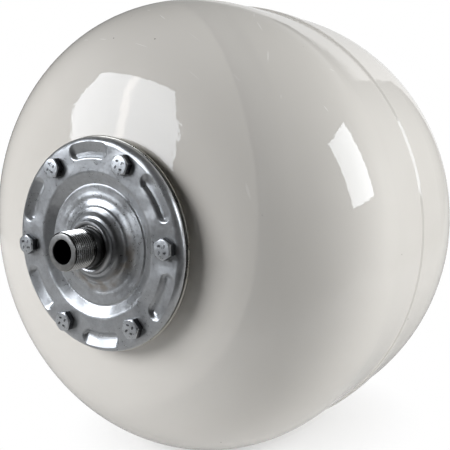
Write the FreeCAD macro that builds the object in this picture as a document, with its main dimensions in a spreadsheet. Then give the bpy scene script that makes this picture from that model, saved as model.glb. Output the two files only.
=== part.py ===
import FreeCAD, Part
import Sketcher
import math
import os

from FreeCAD import Placement, Rotation, Vector

# Flanged bladder expansion vessel for drinking water, of about 25 litres.
# Origin: centre of the inner end of the pipe thread, +Y into the tank, +Z up.
# Every round piece is turned about the Y axis. Sketches of turned pieces lie in the YZ plane,
# with the station along Y as their first coordinate and the radius as their second.

# Driving dimensions in millimetres
SIZES = {
    # Tank: a shallow crown with the neck, a knuckle, a straight body, and the rear knuckle and crown
    "tank_radius": 177.0,
    "shell_wall": 1.3,
    "face_crown": 531.0,
    "face_apex": 8.9,
    "front_knuckle": 90.8,
    "crown_share": 0.96,
    "rear_knuckle": 150.5,
    "rear_knuckle_start": 196.0,
    "crown_radius": 203.6,
    "neck_radius": 54.0,
    "neck_bend": 3.0,
    "neck_margin": 3.0,
    "lip_reach": 4.0,
    "lip_bend": 1.0,
    # Joint of the two shells
    "lap_gap": 0.1,
    "lap_length": 12.0,
    "lap_depth": 10.0,
    "lap_ramp": 2.4,
    "lap_bend": 3.0,
    "lap_station": 166.5,
    "bead_height": 1.3,
    "bead_shoulder": 0.9,
    "bead_width": 1.5,
    # Flange plate, from the bolt circle outwards and inwards
    "plate_wall": 2.5,
    "bolt_reach": 5.0,
    "bolt_hole": 4.5,
    "rim_reach": 11.8,
    "rim_bend": 4.5,
    "rim_depth": 4.8,
    "shoulder_inset": 3.9,
    "shoulder_bend": 5.5,
    "valley_width": 7.5,
    "valley_depth": 4.4,
    "valley_bend": 1.3,
    "step_width": 1.4,
    "floor_depth": 3.5,
    "foot_depth": 3.8,
    "foot_bend": 12.0,
    "slope_width": 6.5,
    "boss_width": 2.3,
    "boss_height": 2.0,
    "boss_bend": 4.0,
    "mouth_radius": 19.4,
    "mouth_height": 3.1,
    "mouth_trim": 2.0,
    # Arc-shaped pockets between the bolts, from the bolt circle
    "pocket_depth": 2.8,
    "pocket_inward": 2.8,
    "pocket_outward": 8.2,
    "pocket_edge": 0.7,
    "pocket_edge_depth": 0.25,
    "slope_depth": 1.7,
    "slope_inward": 1.3,
    "slope_outward": 4.9,
    "trough_inward": 0.3,
    "trough_outward": 1.4,
    "bulge_sink": 0.2,
    "bulge_foot_inward": 0.7,
    "bulge_foot_outward": 0.5,
    "bulge_top_margin": 1.5,
    # Backing ring behind the shell's lip
    "ring_gap": 0.2,
    "ring_margin": 0.6,
    "ring_thickness": 2.4,
    "ring_edge": 0.9,
    "collar_radius": 6.2,
    "collar_length": 3.0,
    # Hexagon bolts
    "bolt_flats": 13.0,
    "bolt_head": 5.3,
    "bolt_thread": 3.9,
    "bolt_length": 12.0,
    "bolt_tip": 0.8,
    "head_bevel": 0.6,
    "tapping_fit": 0.05,
    # Pipe nipple
    "thread_radius": 13.22,
    "thread_length": 18.3,
    "thread_bevel": 1.1,
    "water_bore": 8.15,
    "shank_radius": 14.0,
    "shank_length": 7.8,
    "shank_fillet": 0.6,
    "collar_height": 4.4,
    "collar_gap": 0.2,
    "cone_reach": 3.5,
    "cone_gap": 0.1,
    "cone_relief": 1.1,
    "tail_radius": 16.0,
    "tail_length": 1.2,
    # Liner
    "liner_wall": 0.6,
    "liner_floor": 7.3,
    "liner_gap": 0.6,
    "liner_bend": 1.5,
    "weld_gap": 0.05,
    "nipple_bead": 1.8,
    # Bladder, set off from the shells
    "bladder_wall": 1.8,
    "bladder_neck_gap": 0.3,
    "bladder_lip_inset": 0.5,
    "bladder_side_gap": 17.2,
    "bladder_front_gap": 10.0,
    "bladder_rear_gap": 29.0,
    "bladder_front_inset": 20.0,
    "bladder_rear_inset": 30.0,
    "bladder_neck_bend": 12.0,
    # Air valve at the rear pole
    "boss_outer": 11.0,
    "boss_length": 9.0,
    "boss_inside": 2.5,
    "boss_bead": 2.6,
    "boss_bevel": 0.5,
    "stem_root": 5.0,
    "stem_root_length": 8.0,
    "stem_flats": 14.0,
    "stem_hexagon": 4.0,
    "stem_bevel": 0.5,
    "stem_thread": 3.85,
    "stem_length": 15.0,
    "stem_bore": 2.6,
    "air_way": 1.5,
    "stem_fit": 0.05,
    "o_ring_section": 0.9,
    "o_ring_radius": 6.2,
    "barrel_radius": 2.1,
    "barrel_length": 8.0,
    "barrel_bore": 1.75,
    "barrel_shoulder": 1.2,
    "barrel_depth": 0.8,
    "core_seal_length": 1.5,
    "core_seal_set_back": 2.5,
    "core_seal_bevel": 0.2,
    "pin_radius": 0.7,
    "pin_head": 1.5,
    "pin_head_length": 0.8,
    "pin_head_depth": 0.4,
    "pin_head_bevel": 0.25,
    "pin_tail": 0.3,
    "pin_travel": 3.0,
    "pin_fit": 0.1,
    "pin_seal_radius": 1.9,
    "pin_seal_foot": 1.5,
    "pin_seal_length": 1.6,
    "spring_radius": 1.2,
    "spring_wire": 0.2,
    "spring_pitch": 1.15,
    # Valve cap
    "cap_radius": 8.0,
    "cap_length": 19.0,
    "cap_wall": 1.8,
    "cap_edge": 1.5,
    "cap_seat_gap": 0.4,
    "cap_clearance": 0.05,
    "cap_rib": 0.7,
    "cap_rib_start": 1.0,
    "cap_rib_length": 13.0,
    "cap_seal_thickness": 1.2,
    "cap_seal_radius": 3.6,
}

BOLT_COUNT = 6
# Turn of each hexagon head about its own axis, in degrees, from the bolt on +X upwards
BOLT_TURNS = [28.0, 4.0, 2.0, 27.0, 8.0, 7.0]
# Half of the angle between the centres of a pocket's round ends, at each of its outlines
POCKET_END_ANGLE = 10.2
SLOPE_END_ANGLE = 10.9
TROUGH_END_ANGLE = 11.6
BULGE_END_ANGLE = 11.3
CAP_RIBS = 16

doc = FreeCAD.newDocument("ExpansionTank")
sheet = doc.addObject("Spreadsheet::Sheet", "Sizes")
for row, (alias, number) in enumerate(SIZES.items(), start=1):
    sheet.set("A%d" % row, alias)
    sheet.set("B%d" % row, repr(number))
    sheet.setAlias("B%d" % row, alias)
doc.recompute()


# A length that carries its number together with the formula that the sheet computes it by
class Length:
    def __init__(self, value, formula):
        self.value = value
        self.formula = formula

    def __add__(self, other):
        other = as_length(other)
        return Length(self.value + other.value, "(%s + %s)" % (self.formula, other.formula))

    def __radd__(self, other):
        return as_length(other) + self

    def __neg__(self):
        return Length(-self.value, "(-1 * %s)" % self.formula)

    def __sub__(self, other):
        return self + (-as_length(other))

    def __rsub__(self, other):
        return as_length(other) - self

    def __mul__(self, other):
        other = as_length(other)
        return Length(self.value * other.value, "(%s * %s)" % (self.formula, other.formula))

    def __rmul__(self, other):
        return as_length(other) * self

    def __truediv__(self, other):
        other = as_length(other)
        return Length(self.value / other.value, "(%s / %s)" % (self.formula, other.formula))


def as_length(number):
    if isinstance(number, Length):
        return number
    return Length(float(number), "%.9f" % number)


def root(length):
    return Length(math.sqrt(length.value), "sqrt(%s)" % length.formula)


# The driving dimensions by name, such as size.tank_radius
class Sizes:
    def __init__(self, names):
        for name in names:
            setattr(self, name, Length(SIZES[name], "Sizes." + name))


size = Sizes(SIZES)


def bind(item, target, length):
    length = as_length(length)
    if "Sizes." in length.formula:
        item.setExpression(target, length.formula)


# The lines, arcs and constraints of one sketch, written to it in one go
class Outline:
    def __init__(self):
        self.edges = []
        self.helpers = []
        self.rules = []
        self.lengths = []

    def add(self, edge, helper=False):
        self.edges.append(edge)
        self.helpers.append(helper)
        return len(self.edges) - 1

    def line(self, start, end):
        return self.add(Part.LineSegment(Vector(*start, 0), Vector(*end, 0)))

    def arc(self, centre, radius, start_angle, end_angle):
        circle = Part.Circle(Vector(*centre, 0), Vector(0, 0, 1), radius)
        return self.add(Part.ArcOfCircle(circle, start_angle, end_angle))

    def circle(self, centre, radius):
        return self.add(Part.Circle(Vector(*centre, 0), Vector(0, 0, 1), radius))

    def point(self, place):
        return self.add(Part.Point(Vector(*place, 0)), helper=True)

    def rule(self, kind, *references):
        self.rules.append((kind, references, None))

    def measure(self, kind, *references):
        *ends, length = references
        self.rules.append((kind, tuple(ends), as_length(length)))

    # Holds a vertex at a station and a radius
    def pin(self, edge, end, place):
        self.measure("DistanceX", -1, 1, edge, end, place[0])
        self.measure("DistanceY", -1, 1, edge, end, place[1])

    def write(self, body, name, plane="YZ_Plane", station=None):
        sketch = body.newObject("Sketcher::SketchObject", name)
        role = next(item for item in body.Origin.OriginFeatures if item.Role == plane)
        sketch.AttachmentSupport = [(role, "")]
        sketch.MapMode = "FlatFace"
        if station is not None:
            station = as_length(station)
            sketch.AttachmentOffset = Placement(Vector(0, 0, -station.value), Rotation())
            bind(sketch, "AttachmentOffset.Base.z", -station)
        for edge, helper in zip(self.edges, self.helpers):
            sketch.addGeometry(edge, helper)
        constraints = []
        for kind, references, length in self.rules:
            if length is None:
                constraints.append(Sketcher.Constraint(kind, *references))
            else:
                constraints.append(Sketcher.Constraint(kind, *references, length.value))
        sketch.addConstraint(constraints)
        for index, (kind, references, length) in enumerate(self.rules):
            if length is not None:
                bind(sketch, "Constraints[%d]" % index, length)
        return sketch


def turn_of(before, corner, after):
    inward = (corner[0] - before[0], corner[1] - before[1])
    outward = (after[0] - corner[0], after[1] - corner[1])
    cross = inward[0] * outward[1] - inward[1] * outward[0]
    dot = inward[0] * outward[0] + inward[1] * outward[1]
    return math.atan2(cross, dot)


# Draws lines through the corners with a tangent arc at each bend that has a radius.
# A corner is (station, radius) or (station, radius, bend). Returns the lines and the arcs.
def draw_chain(outline, corners, closed, pinned=True):
    count = len(corners)
    places = [(as_length(c[0]).value, as_length(c[1]).value) for c in corners]
    bends = [as_length(c[2]) if len(c) > 2 and c[2] is not None else None for c in corners]
    leave = list(places)
    arrive = list(places)
    arcs = {}
    for index in range(count):
        if bends[index] is None:
            continue
        before = places[index - 1]
        corner = places[index]
        after = places[(index + 1) % count]
        turn = turn_of(before, corner, after)
        radius = bends[index].value
        tangent = radius * math.tan(abs(turn) / 2)
        back = math.dist(before, corner)
        ahead = math.dist(after, corner)
        first = tuple(corner[i] + (before[i] - corner[i]) * tangent / back for i in (0, 1))
        last = tuple(corner[i] + (after[i] - corner[i]) * tangent / ahead for i in (0, 1))
        side = math.copysign(1.0, turn)
        heading = math.atan2(corner[1] - before[1], corner[0] - before[0])
        centre = (
            first[0] - side * radius * math.sin(heading),
            first[1] + side * radius * math.cos(heading),
        )
        start, end = (first, last) if turn > 0 else (last, first)
        start_angle = math.atan2(start[1] - centre[1], start[0] - centre[0])
        end_angle = math.atan2(end[1] - centre[1], end[0] - centre[0])
        if end_angle < start_angle:
            end_angle += 2 * math.pi
        arrive[index] = first
        leave[index] = last
        arcs[index] = (outline.arc(centre, radius, start_angle, end_angle), turn > 0)
        outline.measure("Radius", arcs[index][0], bends[index])
    lines = []
    for index in range(count if closed else count - 1):
        lines.append(outline.line(leave[index], arrive[(index + 1) % count]))
    for index in range(count):
        has_before = closed or index > 0
        has_after = closed or index < count - 1
        before_line = lines[index - 1] if has_before else None
        after_line = lines[index] if has_after else None
        if index in arcs:
            arc, left = arcs[index]
            outline.rule("Tangent", before_line, 2, arc, 1 if left else 2)
            outline.rule("Tangent", arc, 2 if left else 1, after_line, 1)
            if pinned:
                mark = outline.point(places[index])
                outline.pin(mark, 1, corners[index])
                outline.rule("PointOnObject", mark, 1, before_line)
                outline.rule("PointOnObject", mark, 1, after_line)
            continue
        if has_before and has_after:
            outline.rule("Coincident", before_line, 2, after_line, 1)
        if pinned:
            if has_after:
                outline.pin(after_line, 1, corners[index])
            else:
                outline.pin(before_line, 2, corners[index])
    return lines, arcs


def line_crossing(first_start, first_end, second_start, second_end):
    ax, ay = first_end[0] - first_start[0], first_end[1] - first_start[1]
    bx, by = second_end[0] - second_start[0], second_end[1] - second_start[1]
    gap = (second_start[0] - first_start[0], second_start[1] - first_start[1])
    share = (gap[0] * by - gap[1] * bx) / (ax * by - ay * bx)
    return (first_start[0] + ax * share, first_start[1] + ay * share)


# Draws the section of a pressed sheet: the chain of one face, the same chain set off by the
# wall on its right-hand side, and the two cut edges square to the first and last line
def draw_pressed(outline, corners, wall):
    lines, arcs = draw_chain(outline, corners, closed=False)
    places = [(as_length(c[0]).value, as_length(c[1]).value) for c in corners]
    shifted = []
    for start, end in zip(places, places[1:]):
        length = math.dist(start, end)
        across = ((end[1] - start[1]) / length, -(end[0] - start[0]) / length)
        shifted.append([tuple(p[i] + across[i] * wall.value for i in (0, 1)) for p in (start, end)])
    back = [shifted[0][0]]
    for index in range(1, len(places) - 1):
        place = line_crossing(*shifted[index - 1], *shifted[index])
        bend = None
        if index in arcs:
            front_bend = as_length(corners[index][2])
            bend = front_bend + wall if arcs[index][1] else front_bend - wall
            if bend.value < 0.05:
                bend = None
        back.append((place[0], place[1], bend))
    back.append(shifted[-1][1])
    back_lines = draw_chain(outline, back, closed=False, pinned=False)[0]
    for front_line, back_line in zip(lines, back_lines):
        outline.rule("Parallel", front_line, back_line)
        outline.measure("Distance", front_line, 1, back_line, wall)
    for front_line, back_line, end in ((lines[0], back_lines[0], 1), (lines[-1], back_lines[-1], 2)):
        place = places[0] if end == 1 else places[-1]
        behind = shifted[0][0] if end == 1 else shifted[-1][1]
        edge = outline.line(place, behind)
        outline.rule("Coincident", front_line, end, edge, 1)
        outline.rule("Coincident", back_line, end, edge, 2)
        outline.rule("Perpendicular", edge, front_line)


def new_body(label):
    body = doc.addObject("PartDesign::Body", label)
    body.Label = label
    return body


def revolve(body, sketch, kind="Revolution"):
    feature = body.newObject("PartDesign::" + kind, sketch.Name + kind)
    feature.Profile = sketch
    feature.ReferenceAxis = (sketch, ["H_Axis"])
    feature.Angle = 360.0
    sketch.Visibility = False
    return feature


# A solid of revolution from a closed row of corners
def turned(label, corners):
    body = new_body(label)
    outline = Outline()
    draw_chain(outline, corners, closed=True)
    revolve(body, outline.write(body, label + "_section"))
    return body


# A solid of revolution from one face of a sheet and its wall
def pressed(label, corners, wall):
    body = new_body(label)
    outline = Outline()
    draw_pressed(outline, corners, wall)
    revolve(body, outline.write(body, label + "_section"))
    return body


# Pads a closed sketch square to the Y axis, towards +Y or away from it
def pad(body, sketch, length, towards_inside=True):
    feature = body.newObject("PartDesign::Pad", sketch.Name + "_pad")
    feature.Profile = sketch
    feature.Length = as_length(length).value
    bind(feature, "Length", length)
    feature.Reversed = towards_inside
    return feature


# Cuts a closed sketch through the whole body along the Y axis
def cut_through(body, sketch):
    feature = body.newObject("PartDesign::Pocket", sketch.Name + "_cut")
    feature.Profile = sketch
    feature.Type = "ThroughAll"
    feature.SideType = "Symmetric"
    return feature


# Repeats features about the Y axis
def repeat_round(body, features, count):
    pattern = body.newObject("PartDesign::PolarPattern", features[0].Name + "_pattern")
    pattern.Originals = features
    axis = next(item for item in body.Origin.OriginFeatures if item.Role == "Y_Axis")
    pattern.Axis = (axis, [""])
    pattern.Angle = 360.0
    pattern.Occurrences = count
    body.Tip = pattern
    return pattern


# Stations along Y, counted from the inner end of the thread
plate_face = size.shank_length + size.collar_height
plate_back = plate_face + size.plate_wall
liner_back = plate_back + size.liner_wall
lip_front = liner_back + size.bladder_wall
lip_back = lip_front + size.shell_wall
ring_back = lip_back + size.ring_thickness
lap_edge = plate_face + size.lap_station
knuckle_station = plate_face + size.rear_knuckle_start
knuckle_rise = size.tank_radius - size.rear_knuckle
knuckle_reach = size.crown_radius - size.rear_knuckle
crown_centre = knuckle_station - root(knuckle_reach * knuckle_reach - knuckle_rise * knuckle_rise)
pole = crown_centre + size.crown_radius
boss_end = pole - size.boss_inside + size.boss_length
stem_seat = boss_end + size.o_ring_section
hexagon_end = stem_seat + size.stem_hexagon
stem_end = hexagon_end + size.stem_length
barrel_end = stem_end - size.barrel_depth
cap_mouth = hexagon_end + size.cap_seat_gap
cap_end = cap_mouth + size.cap_length

# Radii of the flange, counted outwards from the neck, which everything there is laid round
lip_radius = size.neck_radius + size.lip_reach
bolt_circle = lip_radius + size.bolt_reach
plate_radius = bolt_circle + size.rim_reach
ring_outer = plate_radius + size.ring_margin
ring_inner = size.neck_radius + size.lip_bend + size.ring_gap
shoulder_radius = size.neck_radius - size.shoulder_inset
valley_radius = shoulder_radius - size.valley_width
step_radius = valley_radius - size.step_width

# Radii of the boss, counted outwards from the mouth that takes the nipple
boss_radius = size.mouth_radius + size.boss_width
foot_radius = boss_radius + size.slope_width
cone_radius = boss_radius + size.cone_reach


# Station of the tank's outer surface near the rear pole
def crown_at(radius):
    return crown_centre + root(size.crown_radius * size.crown_radius - radius * radius)


# Station of the boss's sloping face at a radius, and the same slope set back by a distance
def boss_slope_at(radius, set_back=0.0):
    run = size.foot_depth + size.boss_height
    slant = root(run * run + size.slope_width * size.slope_width)
    face = plate_face - size.boss_height + (radius - boss_radius) * run / size.slope_width
    return face + as_length(set_back) * slant / size.slope_width


# A line that touches the front crown at a radius: its sine, its cosine and its stations
class CrownTangent:
    def __init__(self, radius):
        self.sine = radius / size.face_crown
        self.cosine = root(1.0 - self.sine * self.sine)

    def station_at(self, radius):
        depth = (size.face_crown - radius * self.sine) / self.cosine
        return face_centre - depth


face_centre = plate_face + size.face_apex + size.face_crown
crown_start = CrownTangent(size.neck_radius + size.neck_bend + size.neck_margin)
knuckle_touch = (size.tank_radius - size.front_knuckle) * size.face_crown
crown_finish = CrownTangent(knuckle_touch / (size.face_crown - size.front_knuckle) * size.crown_share)
neck_station = crown_start.station_at(size.neck_radius)


def make_front_shell():
    lap_outer = size.tank_radius + size.lap_gap + size.shell_wall
    ramp_start = lap_edge - size.lap_length - size.lap_ramp * 0.5
    spread = crown_finish.sine * crown_start.cosine - crown_start.sine * crown_finish.cosine
    meeting = (crown_start.cosine - crown_finish.cosine) * size.face_crown / spread
    return pressed("front_shell", [
        (lip_back, lip_radius),
        (lip_back, size.neck_radius, size.lip_bend),
        (neck_station, size.neck_radius, size.neck_bend),
        (crown_start.station_at(meeting), meeting, size.face_crown),
        (crown_finish.station_at(size.tank_radius), size.tank_radius, size.front_knuckle),
        (ramp_start, size.tank_radius, size.lap_bend),
        (ramp_start + size.lap_ramp, lap_outer, size.lap_bend),
        (lap_edge, lap_outer),
    ], size.shell_wall)


# The rear head is a straight strip, a knuckle and a crown, tangent to each other
def make_rear_shell():
    body = new_body("rear_shell")
    outline = Outline()
    hole = size.boss_outer + size.weld_gap
    strip_start = lap_edge - size.lap_depth
    knuckle_centre = (knuckle_station.value, knuckle_rise.value)
    lean = math.atan2(knuckle_rise.value, knuckle_station.value - crown_centre.value)
    arcs = []
    strips = []
    for wall in (as_length(0.0), size.shell_wall):
        crown = (size.crown_radius - wall).value
        knuckle = (size.rear_knuckle - wall).value
        outer = (size.tank_radius - wall).value
        crown_arc = outline.arc((crown_centre.value, 0.0), crown, math.asin(hole.value / crown), lean)
        knuckle_arc = outline.arc(knuckle_centre, knuckle, lean, math.pi / 2)
        strip = outline.line((knuckle_station.value, outer), (strip_start.value, outer))
        outline.rule("Tangent", crown_arc, 2, knuckle_arc, 1)
        outline.rule("Tangent", knuckle_arc, 2, strip, 1)
        outline.rule("Horizontal", strip)
        outline.measure("Radius", crown_arc, size.crown_radius - wall)
        outline.measure("DistanceY", -1, 1, crown_arc, 1, hole)
        outline.measure("DistanceX", -1, 1, strip, 2, strip_start)
        arcs.append((crown_arc, knuckle_arc))
        strips.append(strip)
    outline.rule("PointOnObject", arcs[0][0], 3, -1)
    outline.measure("Radius", arcs[0][1], size.rear_knuckle)
    outline.measure("DistanceX", -1, 1, arcs[0][1], 3, knuckle_station)
    outline.measure("DistanceY", -1, 1, strips[0], 2, size.tank_radius)
    outline.rule("Coincident", arcs[0][0], 3, arcs[1][0], 3)
    outline.rule("Coincident", arcs[0][1], 3, arcs[1][1], 3)
    inner_crown = (size.crown_radius - size.shell_wall).value
    hole_outer = (crown_at(hole).value, hole.value)
    hole_inner = (crown_centre.value + math.sqrt(inner_crown ** 2 - hole.value ** 2), hole.value)
    edge = outline.line(hole_outer, hole_inner)
    outline.rule("Coincident", arcs[0][0], 1, edge, 1)
    outline.rule("Coincident", arcs[1][0], 1, edge, 2)
    inner_radius = size.tank_radius.value - size.shell_wall.value
    end = outline.line((strip_start.value, size.tank_radius.value), (strip_start.value, inner_radius))
    outline.rule("Coincident", strips[0], 2, end, 1)
    outline.rule("Coincident", strips[1], 2, end, 2)
    revolve(body, outline.write(body, "rear_shell_section"))
    return body


def make_seam_weld():
    foot = size.tank_radius + size.weld_gap
    edge = lap_edge + size.weld_gap
    return turned("seam_weld", [
        (edge, foot),
        (edge, foot + size.bead_height),
        (edge + size.bead_width * 0.5, foot + size.bead_shoulder),
        (edge + size.bead_width, foot),
    ])


# Kidney-shaped outline about the Y axis, centred on +Z: two arcs joined by half-round ends,
# whose centres lie at the end angle on each side
def kidney(body, name, station, inner, outer, end_angle):
    outline = Outline()
    middle = (inner + outer).value / 2
    end_radius = (outer - inner).value / 2
    first = math.radians(90.0 - end_angle)
    last = math.radians(90.0 + end_angle)
    outer_arc = outline.arc((0, 0), outer.value, first, last)
    inner_arc = outline.arc((0, 0), inner.value, first, last)
    for arc, radius in ((outer_arc, outer), (inner_arc, inner)):
        outline.rule("Coincident", arc, 3, -1, 1)
        outline.measure("Radius", arc, radius)
    for angle, side in ((first, 1), (last, 2)):
        centre = (middle * math.cos(angle), middle * math.sin(angle))
        start = angle - math.pi if side == 1 else angle
        end_arc = outline.arc(centre, end_radius, start, start + math.pi)
        outline.rule("Tangent", outer_arc, side, end_arc, 3 - side)
        outline.rule("Tangent", inner_arc, side, end_arc, side)
        spoke = outline.add(Part.LineSegment(Vector(0, 0, 0), Vector(*centre, 0)), helper=True)
        outline.rule("Coincident", spoke, 1, -1, 1)
        outline.rule("Coincident", spoke, 2, end_arc, 3)
        outline.measure("Angle", spoke, angle)
    return outline.write(body, name, "XZ_Plane", station)


# Joins kidney outlines by sloping walls, flat or curved in depth
def loft(body, kind, name, first, others, ruled=True):
    feature = body.newObject("PartDesign::" + kind, name)
    feature.Profile = first
    feature.Sections = others
    feature.Ruled = ruled
    return feature


# The plate: a rolled-back rim, a flat bolting ring, a recess and a raised boss round the pipe
def make_flange_plate():
    fall = (size.mouth_height - size.boss_height) / size.boss_width
    body = pressed("flange_plate", [
        (plate_face - size.mouth_height - size.mouth_trim * fall, size.mouth_radius - size.mouth_trim),
        (plate_face - size.boss_height, boss_radius, size.boss_bend),
        (plate_face + size.foot_depth, foot_radius, size.foot_bend),
        (plate_face + size.floor_depth, step_radius),
        (plate_face + size.valley_depth, valley_radius, size.valley_bend),
        (plate_face, shoulder_radius, size.shoulder_bend),
        (plate_face, plate_radius, size.rim_bend),
        (plate_face + size.rim_depth, plate_radius),
    ], size.plate_wall)
    doc.recompute()
    mouth = Outline()
    mouth_circle = mouth.circle((0.0, 0.0), size.mouth_radius.value)
    mouth.measure("Radius", mouth_circle, size.mouth_radius)
    mouth.rule("Coincident", mouth_circle, 3, -1, 1)
    cut_through(body, mouth.write(body, "mouth_circle", "XZ_Plane", plate_face))
    doc.recompute()
    # The wall bulges out behind each pocket by its own thickness
    trough = plate_face + size.pocket_depth
    inner = bolt_circle - size.pocket_inward
    outer = bolt_circle + size.pocket_outward
    trough_inner = bolt_circle - size.trough_inward
    trough_outer = bolt_circle + size.trough_outward
    bulge_foot = kidney(
        body, "bulge_foot", plate_back - size.bulge_sink,
        inner - size.bulge_foot_inward, outer - size.bulge_foot_outward, POCKET_END_ANGLE,
    )
    bulge_top = kidney(
        body, "bulge_top", trough + size.plate_wall,
        trough_inner - size.bulge_top_margin, trough_outer + size.bulge_top_margin, BULGE_END_ANGLE,
    )
    bulge = loft(body, "AdditiveLoft", "bulge", bulge_foot, [bulge_top])
    doc.recompute()
    edge = kidney(
        body, "pocket_edge", plate_face,
        inner - size.pocket_edge, outer + size.pocket_edge, POCKET_END_ANGLE,
    )
    wall = kidney(
        body, "pocket_wall", plate_face + size.pocket_edge_depth, inner, outer, POCKET_END_ANGLE,
    )
    slope = kidney(
        body, "pocket_slope", plate_face + size.slope_depth,
        bolt_circle - size.slope_inward, bolt_circle + size.slope_outward, SLOPE_END_ANGLE,
    )
    floor = kidney(
        body, "pocket_trough", trough, trough_inner, trough_outer, TROUGH_END_ANGLE,
    )
    pocket = loft(body, "SubtractiveLoft", "pocket", edge, [wall, slope, floor], ruled=False)
    doc.recompute()
    repeat_round(body, [bulge, pocket], BOLT_COUNT)
    holes = Outline()
    hole = holes.circle((bolt_circle.value, 0.0), size.bolt_hole.value)
    holes.measure("Radius", hole, size.bolt_hole)
    holes.measure("DistanceX", -1, 1, hole, 3, bolt_circle)
    holes.rule("PointOnObject", hole, 3, -1)
    cut = cut_through(body, holes.write(body, "bolt_hole_circle", "XZ_Plane", plate_face))
    doc.recompute()
    repeat_round(body, [cut], BOLT_COUNT)
    return body


# The loose ring that the bolts screw into, with a tapped collar drawn out at each bolt
def make_backing_ring():
    body = turned("backing_ring", [
        (lip_back, ring_inner),
        (lip_back, ring_outer, size.ring_edge),
        (ring_back, ring_outer, size.ring_edge),
        (ring_back, ring_inner),
    ])
    collars = Outline()
    collar = collars.circle((bolt_circle.value, 0.0), size.collar_radius.value)
    collars.measure("Radius", collar, size.collar_radius)
    collars.measure("DistanceX", -1, 1, collar, 3, bolt_circle)
    collars.rule("PointOnObject", collar, 3, -1)
    collar_sketch = collars.write(body, "collar_circle", "XZ_Plane", ring_back)
    collar_pad = pad(body, collar_sketch, size.collar_length)
    doc.recompute()
    tappings = Outline()
    tapping_radius = size.bolt_thread + size.tapping_fit
    tapping = tappings.circle((bolt_circle.value, 0.0), tapping_radius.value)
    tappings.measure("Radius", tapping, tapping_radius)
    tappings.measure("DistanceX", -1, 1, tapping, 3, bolt_circle)
    tappings.rule("PointOnObject", tapping, 3, -1)
    tapping_cut = cut_through(body, tappings.write(body, "tapping_circle", "XZ_Plane", lip_back))
    doc.recompute()
    repeat_round(body, [collar_pad, tapping_cut], BOLT_COUNT)
    return body


# Regular hexagon round the sketch's origin with its flats a given distance apart
def hexagon(body, name, station, flats, turn):
    outline = Outline()
    corner = flats / math.sqrt(3)
    places = []
    for step in range(6):
        angle = math.radians(60 * step + turn)
        places.append((corner.value * math.cos(angle), corner.value * math.sin(angle)))
    lines = [outline.line(places[step], places[(step + 1) % 6]) for step in range(6)]
    for step, line in enumerate(lines):
        outline.rule("Coincident", line, 2, lines[(step + 1) % 6], 1)
        angle = math.radians(60 * step + turn)
        outline.pin(line, 1, (corner * math.cos(angle), corner * math.sin(angle)))
    return outline.write(body, name, "XZ_Plane", station)


# Bevels a hexagon's corners at one end, at 30 degrees from a circle just inside its flats.
# The cutting section starts outside the solid, on the same slope.
def bevel_hexagon(body, name, end, towards, flats, bevel):
    outline = Outline()
    slope = math.tan(math.radians(30.0))
    inner = flats * 0.5 - bevel
    reach = flats * 0.5 + bevel * 3
    outside = end - towards * bevel * slope
    draw_chain(outline, [
        (outside, inner - bevel),
        (outside, reach),
        (end + towards * (reach - inner) * slope, reach),
    ], closed=True)
    return revolve(body, outline.write(body, name), "Groove")


# Six bolts, each along its own Y axis from the plate's face, placed round the bolt circle
def make_bolts():
    bolts = []
    for number in range(BOLT_COUNT):
        label = "bolt_%d" % (number + 1)
        body = new_body(label)
        head = hexagon(body, label + "_hexagon", 0.0, size.bolt_flats, BOLT_TURNS[number])
        pad(body, head, size.bolt_head, towards_inside=False)
        doc.recompute()
        bevel_hexagon(body, label + "_bevel", -size.bolt_head, 1.0, size.bolt_flats, size.head_bevel)
        doc.recompute()
        shank = Outline()
        draw_chain(shank, [
            (size.bolt_head * -0.5, 0.0),
            (size.bolt_head * -0.5, size.bolt_thread),
            (size.bolt_length - size.bolt_tip, size.bolt_thread),
            (size.bolt_length, size.bolt_thread - size.bolt_tip),
            (size.bolt_length, 0.0),
        ], closed=True)
        revolve(body, shank.write(body, label + "_shank"))
        angle = math.radians(360.0 / BOLT_COUNT * number)
        place = (bolt_circle * math.cos(angle), plate_face, bolt_circle * math.sin(angle))
        body.Placement = Placement(Vector(*[item.value for item in place]), Rotation())
        for axis, length in zip("xyz", place):
            bind(body, "Placement.Base." + axis, length)
        bolts.append(body)
    return bolts


# The nipple: male pipe thread, shank, collar in the plate's mouth and a cone under its boss
def make_pipe_nipple():
    relief = size.mouth_radius + size.cone_relief
    set_back = size.plate_wall + size.cone_gap
    relief_station = boss_slope_at(relief, set_back)
    liner_front = plate_face + size.liner_floor
    thread_end = -size.thread_length
    collar_edge = size.mouth_radius - size.collar_gap
    return turned("pipe_nipple", [
        (thread_end, size.water_bore),
        (thread_end, size.thread_radius - size.thread_bevel),
        (thread_end + size.thread_bevel, size.thread_radius),
        (0.0, size.thread_radius),
        (0.0, size.shank_radius),
        (size.shank_length, size.shank_radius, size.shank_fillet),
        (plate_face - size.mouth_height, collar_edge),
        (relief_station, collar_edge),
        (relief_station, relief),
        (boss_slope_at(cone_radius, set_back), cone_radius),
        (liner_front, cone_radius),
        (liner_front, size.tail_radius),
        (liner_front + size.tail_length, size.tail_radius),
        (liner_front + size.tail_length, size.water_bore),
    ])


# The liner keeps the water off the plate: it follows the back of the recess with a small gap
def make_flange_liner():
    slope = size.valley_width / size.valley_depth
    slant = root(slope * slope + 1.0)
    shoulder = shoulder_radius + size.plate_wall * (slant - slope) + size.liner_gap
    floor_radius = shoulder - (size.liner_floor - size.plate_wall) * slope
    return pressed("flange_liner", [
        (plate_face + size.liner_floor, size.tail_radius + size.weld_gap),
        (plate_face + size.liner_floor, floor_radius, size.liner_bend),
        (plate_back, shoulder, size.liner_bend),
        (plate_back, lip_radius),
    ], size.liner_wall)


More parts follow.
